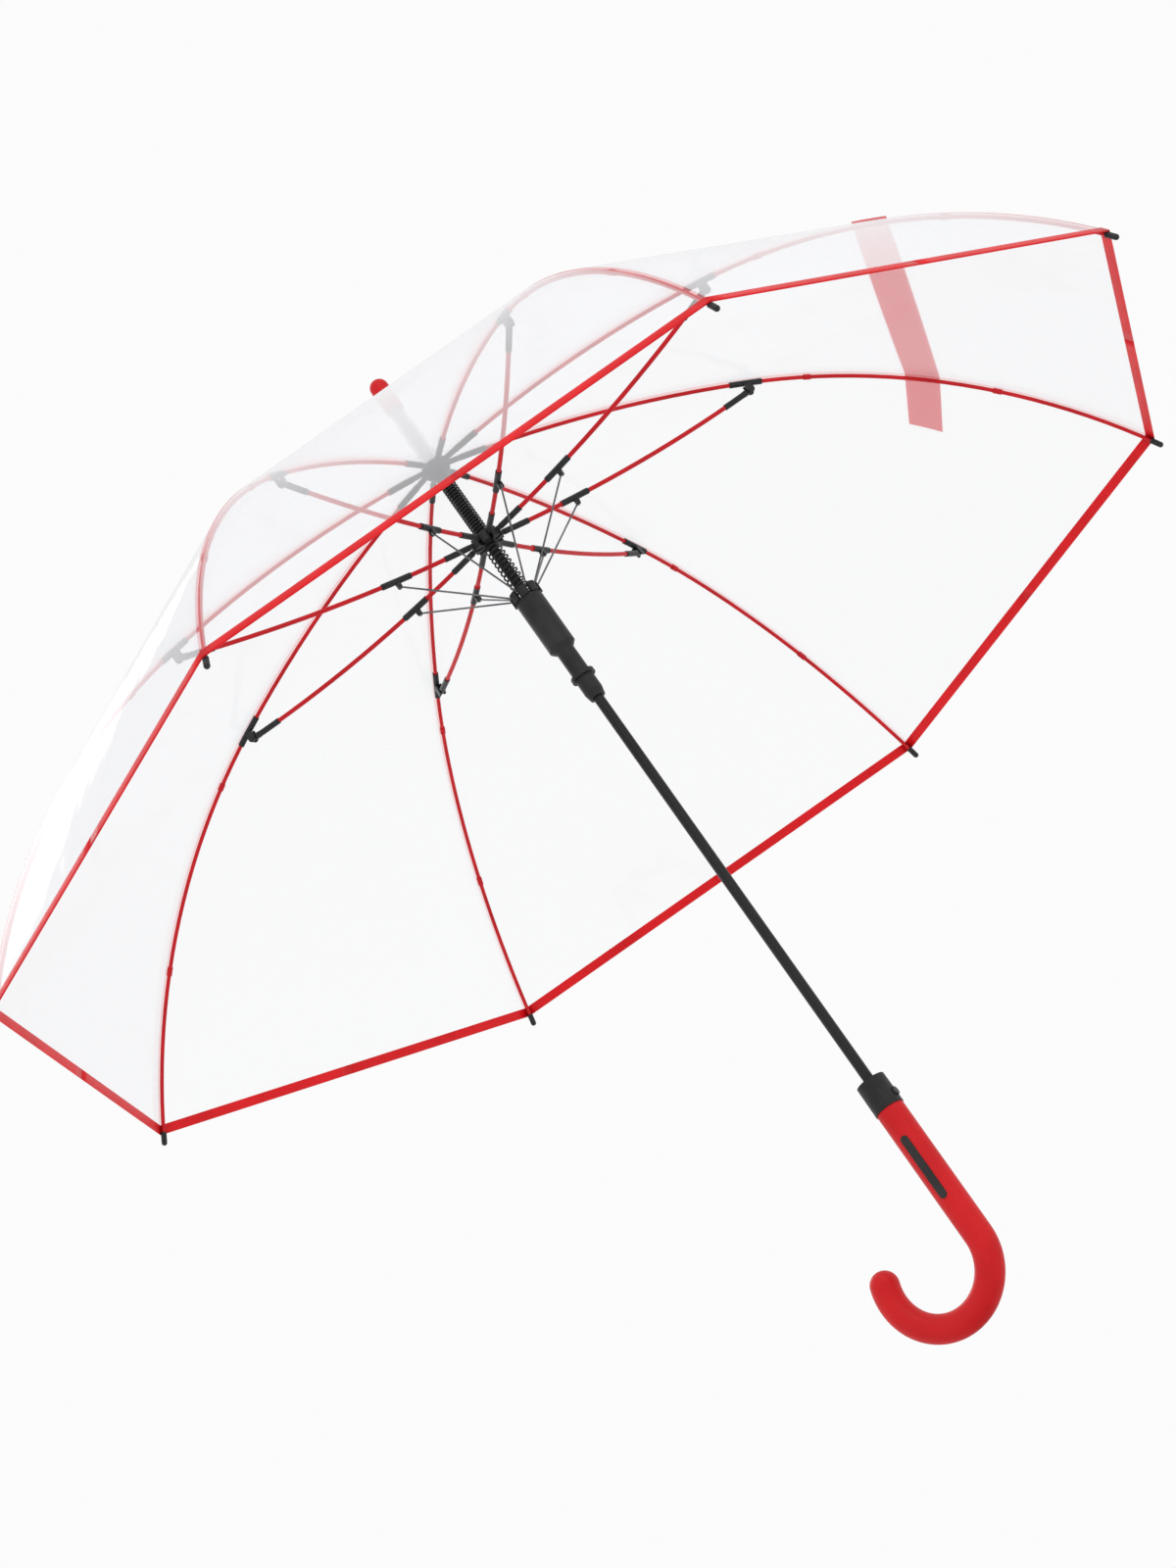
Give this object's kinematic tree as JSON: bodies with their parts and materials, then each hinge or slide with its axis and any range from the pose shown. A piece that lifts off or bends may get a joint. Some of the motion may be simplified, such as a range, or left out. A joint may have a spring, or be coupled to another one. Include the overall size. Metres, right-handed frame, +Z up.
{
  "type": "stick umbrella",
  "caption": "Clear film stick umbrella with red ribs, red bound rim, black sliding mechanism and a red crook handle",
  "frame": {"origin": "middle of the straight grip, on the shaft's axis", "axes": "+Z up the shaft to the ferrule, +X towards the crook's bend, +Y to the name plate"},
  "size_m": [1.0016, 1.0016, 0.8389],
  "materials": {
    "black_plastic": "satin moulded plastic",
    "black_shaft": "black painted steel tube",
    "spring_steel": "dark spring steel",
    "steel_wire": "drawn steel wire",
    "red_fibreglass": "pultruded red rod",
    "red_plastic": "glossy red plastic",
    "clear_film": "clear soft film",
    "clear_plastic": "cloudy clear plastic",
    "red_strap": "translucent red film strap"
  },
  "bodies": {
    "shaft": {"shaft_tube": "black_shaft", "ferrule_cap": "red_plastic", "ferrule_sleeve": "clear_plastic", "top_crown": "black_plastic", "buffer_spring": "spring_steel", "handle": "red_plastic", "handle_collar": "black_plastic", "name_plate": "black_plastic", "button_spring": "spring_steel"},
    "hub": {"strut_hub": "black_plastic", "strut_hub_wire": "steel_wire", "main_spring": "spring_steel"},
    "runner": {"runner": "black_plastic"},
    "button": {"release_button": "black_plastic"},
    "strut_arm_1": {"strut_1": "red_fibreglass"},
    "rib_arm_1": {"rib_1": "red_fibreglass", "rib_fittings_1": "black_plastic", "canopy_panel_1": "clear_film"},
    "wire_arm_1": {"spreader_wire_1": "steel_wire"},
    "strut_arm_2": {"strut_2": "red_fibreglass"},
    "rib_arm_2": {"rib_2": "red_fibreglass", "rib_fittings_2": "black_plastic", "canopy_panel_2": "clear_film"},
    "wire_arm_2": {"spreader_wire_2": "steel_wire"},
    "strut_arm_3": {"strut_3": "red_fibreglass"},
    "rib_arm_3": {"rib_3": "red_fibreglass", "rib_fittings_3": "black_plastic", "canopy_panel_3": "clear_film"},
    "wire_arm_3": {"spreader_wire_3": "steel_wire"},
    "strut_arm_4": {"strut_4": "red_fibreglass"},
    "rib_arm_4": {"rib_4": "red_fibreglass", "rib_fittings_4": "black_plastic", "canopy_panel_4": "clear_film"},
    "wire_arm_4": {"spreader_wire_4": "steel_wire"},
    "strut_arm_5": {"strut_5": "red_fibreglass"},
    "rib_arm_5": {"rib_5": "red_fibreglass", "rib_fittings_5": "black_plastic", "canopy_panel_5": "clear_film", "closure_strap": "red_strap"},
    "wire_arm_5": {"spreader_wire_5": "steel_wire"},
    "strut_arm_6": {"strut_6": "red_fibreglass"},
    "rib_arm_6": {"rib_6": "red_fibreglass", "rib_fittings_6": "black_plastic", "canopy_panel_6": "clear_film"},
    "wire_arm_6": {"spreader_wire_6": "steel_wire"},
    "strut_arm_7": {"strut_7": "red_fibreglass"},
    "rib_arm_7": {"rib_7": "red_fibreglass", "rib_fittings_7": "black_plastic", "canopy_panel_7": "clear_film"},
    "wire_arm_7": {"spreader_wire_7": "steel_wire"},
    "strut_arm_8": {"strut_8": "red_fibreglass"},
    "rib_arm_8": {"rib_8": "red_fibreglass", "rib_fittings_8": "black_plastic", "canopy_panel_8": "clear_film"},
    "wire_arm_8": {"spreader_wire_8": "steel_wire"}
  },
  "joints": [
    {"name": "hub_slide", "type": "slide", "parent": "shaft", "child": "hub", "axis": [0, 0, -1], "range_m": [0, 0.3956], "stiffness_N_per_m": 20, "springref_m": -0.5},
    {"name": "runner_slide", "type": "slide", "parent": "hub", "child": "runner", "axis": [0, 0, 1], "range_m": [0, 0.0365], "deforming": ["main_spring"]},
    {"name": "button_push", "type": "slide", "parent": "shaft", "child": "button", "axis": [1, 0, 0], "range_m": [0, 0.0012], "stiffness_N_per_m": 300, "springref_m": -0.001, "deforming": ["button_spring"]},
    {"name": "strut_hinge_1", "type": "hinge", "parent": "hub", "child": "strut_arm_1", "pos_m": [0.009, 0, 0.577], "axis": [0, 1, 0], "range_deg": [-70.59, 0]},
    {"name": "rib_hinge_1", "type": "hinge", "parent": "strut_arm_1", "child": "rib_arm_1", "pos_m": [0.247, 0, 0.596], "axis": [0, 1, 0], "range_deg": [0, 133.73], "deforming": ["canopy_panel_1"]},
    {"name": "wire_hinge_1", "type": "hinge", "parent": "strut_arm_1", "child": "wire_arm_1", "pos_m": [0.077, 0, 0.57258], "axis": [0, 1, 0], "range_deg": [0, 34.81]},
    {"name": "strut_hinge_2", "type": "hinge", "parent": "hub", "child": "strut_arm_2", "pos_m": [0.00636, 0.00636, 0.577], "axis": [-0.7071, 0.7071, 0], "range_deg": [-70.59, 0]},
    {"name": "rib_hinge_2", "type": "hinge", "parent": "strut_arm_2", "child": "rib_arm_2", "pos_m": [0.17466, 0.17466, 0.596], "axis": [-0.7071, 0.7071, 0], "range_deg": [0, 133.73], "deforming": ["canopy_panel_2"]},
    {"name": "wire_hinge_2", "type": "hinge", "parent": "strut_arm_2", "child": "wire_arm_2", "pos_m": [0.05445, 0.05445, 0.57258], "axis": [-0.7071, 0.7071, 0], "range_deg": [0, 34.81]},
    {"name": "strut_hinge_3", "type": "hinge", "parent": "hub", "child": "strut_arm_3", "pos_m": [0, 0.009, 0.577], "axis": [-1, 0, 0], "range_deg": [-70.59, 0]},
    {"name": "rib_hinge_3", "type": "hinge", "parent": "strut_arm_3", "child": "rib_arm_3", "pos_m": [0, 0.247, 0.596], "axis": [-1, 0, 0], "range_deg": [0, 133.73], "deforming": ["canopy_panel_3"]},
    {"name": "wire_hinge_3", "type": "hinge", "parent": "strut_arm_3", "child": "wire_arm_3", "pos_m": [0, 0.077, 0.57258], "axis": [-1, 0, 0], "range_deg": [0, 34.81]},
    {"name": "strut_hinge_4", "type": "hinge", "parent": "hub", "child": "strut_arm_4", "pos_m": [-0.00636, 0.00636, 0.577], "axis": [-0.7071, -0.7071, 0], "range_deg": [-70.59, 0]},
    {"name": "rib_hinge_4", "type": "hinge", "parent": "strut_arm_4", "child": "rib_arm_4", "pos_m": [-0.17466, 0.17466, 0.596], "axis": [-0.7071, -0.7071, 0], "range_deg": [0, 133.73], "deforming": ["canopy_panel_4"]},
    {"name": "wire_hinge_4", "type": "hinge", "parent": "strut_arm_4", "child": "wire_arm_4", "pos_m": [-0.05445, 0.05445, 0.57258], "axis": [-0.7071, -0.7071, 0], "range_deg": [0, 34.81]},
    {"name": "strut_hinge_5", "type": "hinge", "parent": "hub", "child": "strut_arm_5", "pos_m": [-0.009, 0, 0.577], "axis": [0, -1, 0], "range_deg": [-70.59, 0]},
    {"name": "rib_hinge_5", "type": "hinge", "parent": "strut_arm_5", "child": "rib_arm_5", "pos_m": [-0.247, 0, 0.596], "axis": [0, -1, 0], "range_deg": [0, 133.73], "deforming": ["canopy_panel_5", "closure_strap"]},
    {"name": "wire_hinge_5", "type": "hinge", "parent": "strut_arm_5", "child": "wire_arm_5", "pos_m": [-0.077, 0, 0.57258], "axis": [0, -1, 0], "range_deg": [0, 34.81]},
    {"name": "strut_hinge_6", "type": "hinge", "parent": "hub", "child": "strut_arm_6", "pos_m": [-0.00636, -0.00636, 0.577], "axis": [0.7071, -0.7071, 0], "range_deg": [-70.59, 0]},
    {"name": "rib_hinge_6", "type": "hinge", "parent": "strut_arm_6", "child": "rib_arm_6", "pos_m": [-0.17466, -0.17466, 0.596], "axis": [0.7071, -0.7071, 0], "range_deg": [0, 133.73], "deforming": ["canopy_panel_6"]},
    {"name": "wire_hinge_6", "type": "hinge", "parent": "strut_arm_6", "child": "wire_arm_6", "pos_m": [-0.05445, -0.05445, 0.57258], "axis": [0.7071, -0.7071, 0], "range_deg": [0, 34.81]},
    {"name": "strut_hinge_7", "type": "hinge", "parent": "hub", "child": "strut_arm_7", "pos_m": [0, -0.009, 0.577], "axis": [1, 0, 0], "range_deg": [-70.59, 0]},
    {"name": "rib_hinge_7", "type": "hinge", "parent": "strut_arm_7", "child": "rib_arm_7", "pos_m": [0, -0.247, 0.596], "axis": [1, 0, 0], "range_deg": [0, 133.73], "deforming": ["canopy_panel_7"]},
    {"name": "wire_hinge_7", "type": "hinge", "parent": "strut_arm_7", "child": "wire_arm_7", "pos_m": [0, -0.077, 0.57258], "axis": [1, 0, 0], "range_deg": [0, 34.81]},
    {"name": "strut_hinge_8", "type": "hinge", "parent": "hub", "child": "strut_arm_8", "pos_m": [0.00636, -0.00636, 0.577], "axis": [0.7071, 0.7071, 0], "range_deg": [-70.59, 0]},
    {"name": "rib_hinge_8", "type": "hinge", "parent": "strut_arm_8", "child": "rib_arm_8", "pos_m": [0.17466, -0.17466, 0.596], "axis": [0.7071, 0.7071, 0], "range_deg": [0, 133.73], "deforming": ["canopy_panel_8"]},
    {"name": "wire_hinge_8", "type": "hinge", "parent": "strut_arm_8", "child": "wire_arm_8", "pos_m": [0.05445, -0.05445, 0.57258], "axis": [0.7071, 0.7071, 0], "range_deg": [0, 34.81]}
  ],
  "couplings": [
    {"joint": "runner_slide", "follows": "hub_slide", "ratio": 0.092267},
    {"joint": "strut_hinge_1", "follows": "hub_slide", "rad_per_m": -3.1145},
    {"joint": "rib_hinge_1", "follows": "hub_slide", "rad_per_m": 5.8999},
    {"joint": "wire_hinge_1", "follows": "hub_slide", "rad_per_m": 1.536},
    {"joint": "strut_hinge_2", "follows": "hub_slide", "rad_per_m": -3.1145},
    {"joint": "rib_hinge_2", "follows": "hub_slide", "rad_per_m": 5.8999},
    {"joint": "wire_hinge_2", "follows": "hub_slide", "rad_per_m": 1.536},
    {"joint": "strut_hinge_3", "follows": "hub_slide", "rad_per_m": -3.1145},
    {"joint": "rib_hinge_3", "follows": "hub_slide", "rad_per_m": 5.8999},
    {"joint": "wire_hinge_3", "follows": "hub_slide", "rad_per_m": 1.536},
    {"joint": "strut_hinge_4", "follows": "hub_slide", "rad_per_m": -3.1145},
    {"joint": "rib_hinge_4", "follows": "hub_slide", "rad_per_m": 5.8999},
    {"joint": "wire_hinge_4", "follows": "hub_slide", "rad_per_m": 1.536},
    {"joint": "strut_hinge_5", "follows": "hub_slide", "rad_per_m": -3.1145},
    {"joint": "rib_hinge_5", "follows": "hub_slide", "rad_per_m": 5.8999},
    {"joint": "wire_hinge_5", "follows": "hub_slide", "rad_per_m": 1.536},
    {"joint": "strut_hinge_6", "follows": "hub_slide", "rad_per_m": -3.1145},
    {"joint": "rib_hinge_6", "follows": "hub_slide", "rad_per_m": 5.8999},
    {"joint": "wire_hinge_6", "follows": "hub_slide", "rad_per_m": 1.536},
    {"joint": "strut_hinge_7", "follows": "hub_slide", "rad_per_m": -3.1145},
    {"joint": "rib_hinge_7", "follows": "hub_slide", "rad_per_m": 5.8999},
    {"joint": "wire_hinge_7", "follows": "hub_slide", "rad_per_m": 1.536},
    {"joint": "strut_hinge_8", "follows": "hub_slide", "rad_per_m": -3.1145},
    {"joint": "rib_hinge_8", "follows": "hub_slide", "rad_per_m": 5.8999},
    {"joint": "wire_hinge_8", "follows": "hub_slide", "rad_per_m": 1.536}
  ]
}
